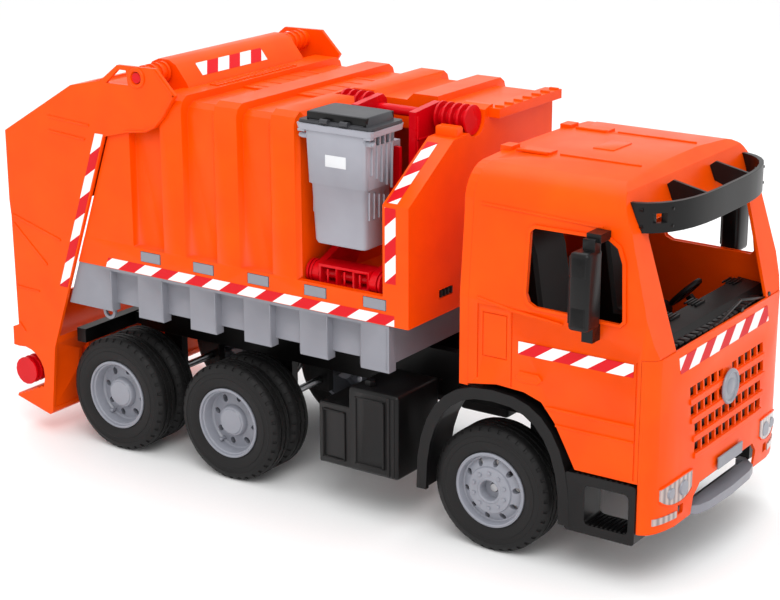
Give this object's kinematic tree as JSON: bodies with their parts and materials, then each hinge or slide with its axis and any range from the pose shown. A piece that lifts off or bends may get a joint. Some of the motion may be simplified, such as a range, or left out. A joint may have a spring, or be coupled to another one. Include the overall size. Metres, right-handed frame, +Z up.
{
  "type": "toy refuse truck",
  "caption": "Toy refuse truck with cab, ribbed container, side bin lifter with a lift-off bin, and a tailgate hopper hinged at the roof.",
  "frame": {"origin": "on the ground under the middle of the truck's length and width", "axes": "+X is the direction of travel, +Z is up, the lifter side faces -Y"},
  "size_m": [0.7234, 0.304, 0.387],
  "materials": {
    "orange_plastic": "semi-gloss",
    "red_plastic": "semi-gloss",
    "black_plastic": "satin",
    "tyre_rubber": "matt",
    "grey_plastic": "satin",
    "silver_plastic": "satin",
    "axle_steel": "brushed"
  },
  "bodies": {
    "chassis": {"chassis_frame": "black_plastic", "axle_front": "axle_steel", "axle_mid": "axle_steel", "axle_rear": "axle_steel", "side_box_right": "black_plastic", "side_box_left": "black_plastic", "filler_cap_right": "black_plastic", "filler_cap_left": "black_plastic", "mudguard_right": "black_plastic", "mudguard_left": "black_plastic", "cab_shell": "orange_plastic", "cab_rear_frame": "orange_plastic", "cab_front_mask": "orange_plastic", "front_carrier": "black_plastic", "front_step_bar": "grey_plastic", "sun_visor": "black_plastic", "mirror_right": "black_plastic", "mirror_left": "black_plastic", "cab_interior": "black_plastic", "steering_wheel": "black_plastic", "grille_badge": "silver_plastic", "number_plate_blank": "grey_plastic", "container_shell": "orange_plastic", "container_tray": "grey_plastic", "tailgate_shaft": "red_plastic"},
    "tailgate": {"tailgate": "orange_plastic"},
    "rear_lift": {"rear_lift_shaft": "red_plastic", "rear_lift_comb": "red_plastic"},
    "side_lifter": {"lifter_shaft": "red_plastic", "lifter_arm_rear": "red_plastic", "lifter_arm_front": "red_plastic", "lifter_back_plate": "red_plastic", "lifter_crossbar": "red_plastic"},
    "bin": {"bin_body": "grey_plastic"},
    "bin_lid": {"bin_lid": "black_plastic"},
    "wheel_front_right": {"tyre_front_right": "tyre_rubber", "rim_front_right": "silver_plastic"},
    "wheel_front_left": {"tyre_front_left": "tyre_rubber", "rim_front_left": "silver_plastic"},
    "wheel_mid_right": {"tyre_mid_right": "tyre_rubber", "rim_mid_right": "silver_plastic"},
    "wheel_mid_left": {"tyre_mid_left": "tyre_rubber", "rim_mid_left": "silver_plastic"},
    "wheel_rear_right": {"tyre_rear_right": "tyre_rubber", "rim_rear_right": "silver_plastic"},
    "wheel_rear_left": {"tyre_rear_left": "tyre_rubber", "rim_rear_left": "silver_plastic"}
  },
  "joints": [
    {"name": "wheel_front_right_spin", "type": "hinge", "parent": "chassis", "child": "wheel_front_right", "pos_m": [0.1916, 0, 0.057], "axis": [0, 1, 0], "continuous": true},
    {"name": "wheel_front_left_spin", "type": "hinge", "parent": "chassis", "child": "wheel_front_left", "pos_m": [0.1916, 0, 0.057], "axis": [0, 1, 0], "continuous": true},
    {"name": "wheel_mid_right_spin", "type": "hinge", "parent": "chassis", "child": "wheel_mid_right", "pos_m": [-0.096, 0, 0.057], "axis": [0, 1, 0], "continuous": true},
    {"name": "wheel_mid_left_spin", "type": "hinge", "parent": "chassis", "child": "wheel_mid_left", "pos_m": [-0.096, 0, 0.057], "axis": [0, 1, 0], "continuous": true},
    {"name": "wheel_rear_right_spin", "type": "hinge", "parent": "chassis", "child": "wheel_rear_right", "pos_m": [-0.2342, 0, 0.057], "axis": [0, 1, 0], "continuous": true},
    {"name": "wheel_rear_left_spin", "type": "hinge", "parent": "chassis", "child": "wheel_rear_left", "pos_m": [-0.2342, 0, 0.057], "axis": [0, 1, 0], "continuous": true},
    {"name": "tailgate_hinge", "type": "hinge", "parent": "chassis", "child": "tailgate", "pos_m": [-0.184, 0, 0.376], "axis": [0, 1, 0], "range_deg": [0, 90]},
    {"name": "rear_lift_hinge", "type": "hinge", "parent": "tailgate", "child": "rear_lift", "pos_m": [-0.3475, 0, 0.062], "axis": [0, 1, 0], "range_deg": [-90, 0]},
    {"name": "side_lifter_hinge", "type": "hinge", "parent": "chassis", "child": "side_lifter", "pos_m": [0.0355, -0.018, 0.352], "axis": [1, 0, 0], "range_deg": [-130, 0]},
    {"name": "bin_lift_off", "type": "slide", "parent": "side_lifter", "child": "bin", "axis": [0, 0, 1], "range_m": [0, 0.02]},
    {"name": "bin_lid_hinge", "type": "hinge", "parent": "bin", "child": "bin_lid", "pos_m": [0.0355, -0.1266, 0.3602], "axis": [1, 0, 0], "range_deg": [0, 110]}
  ]
}
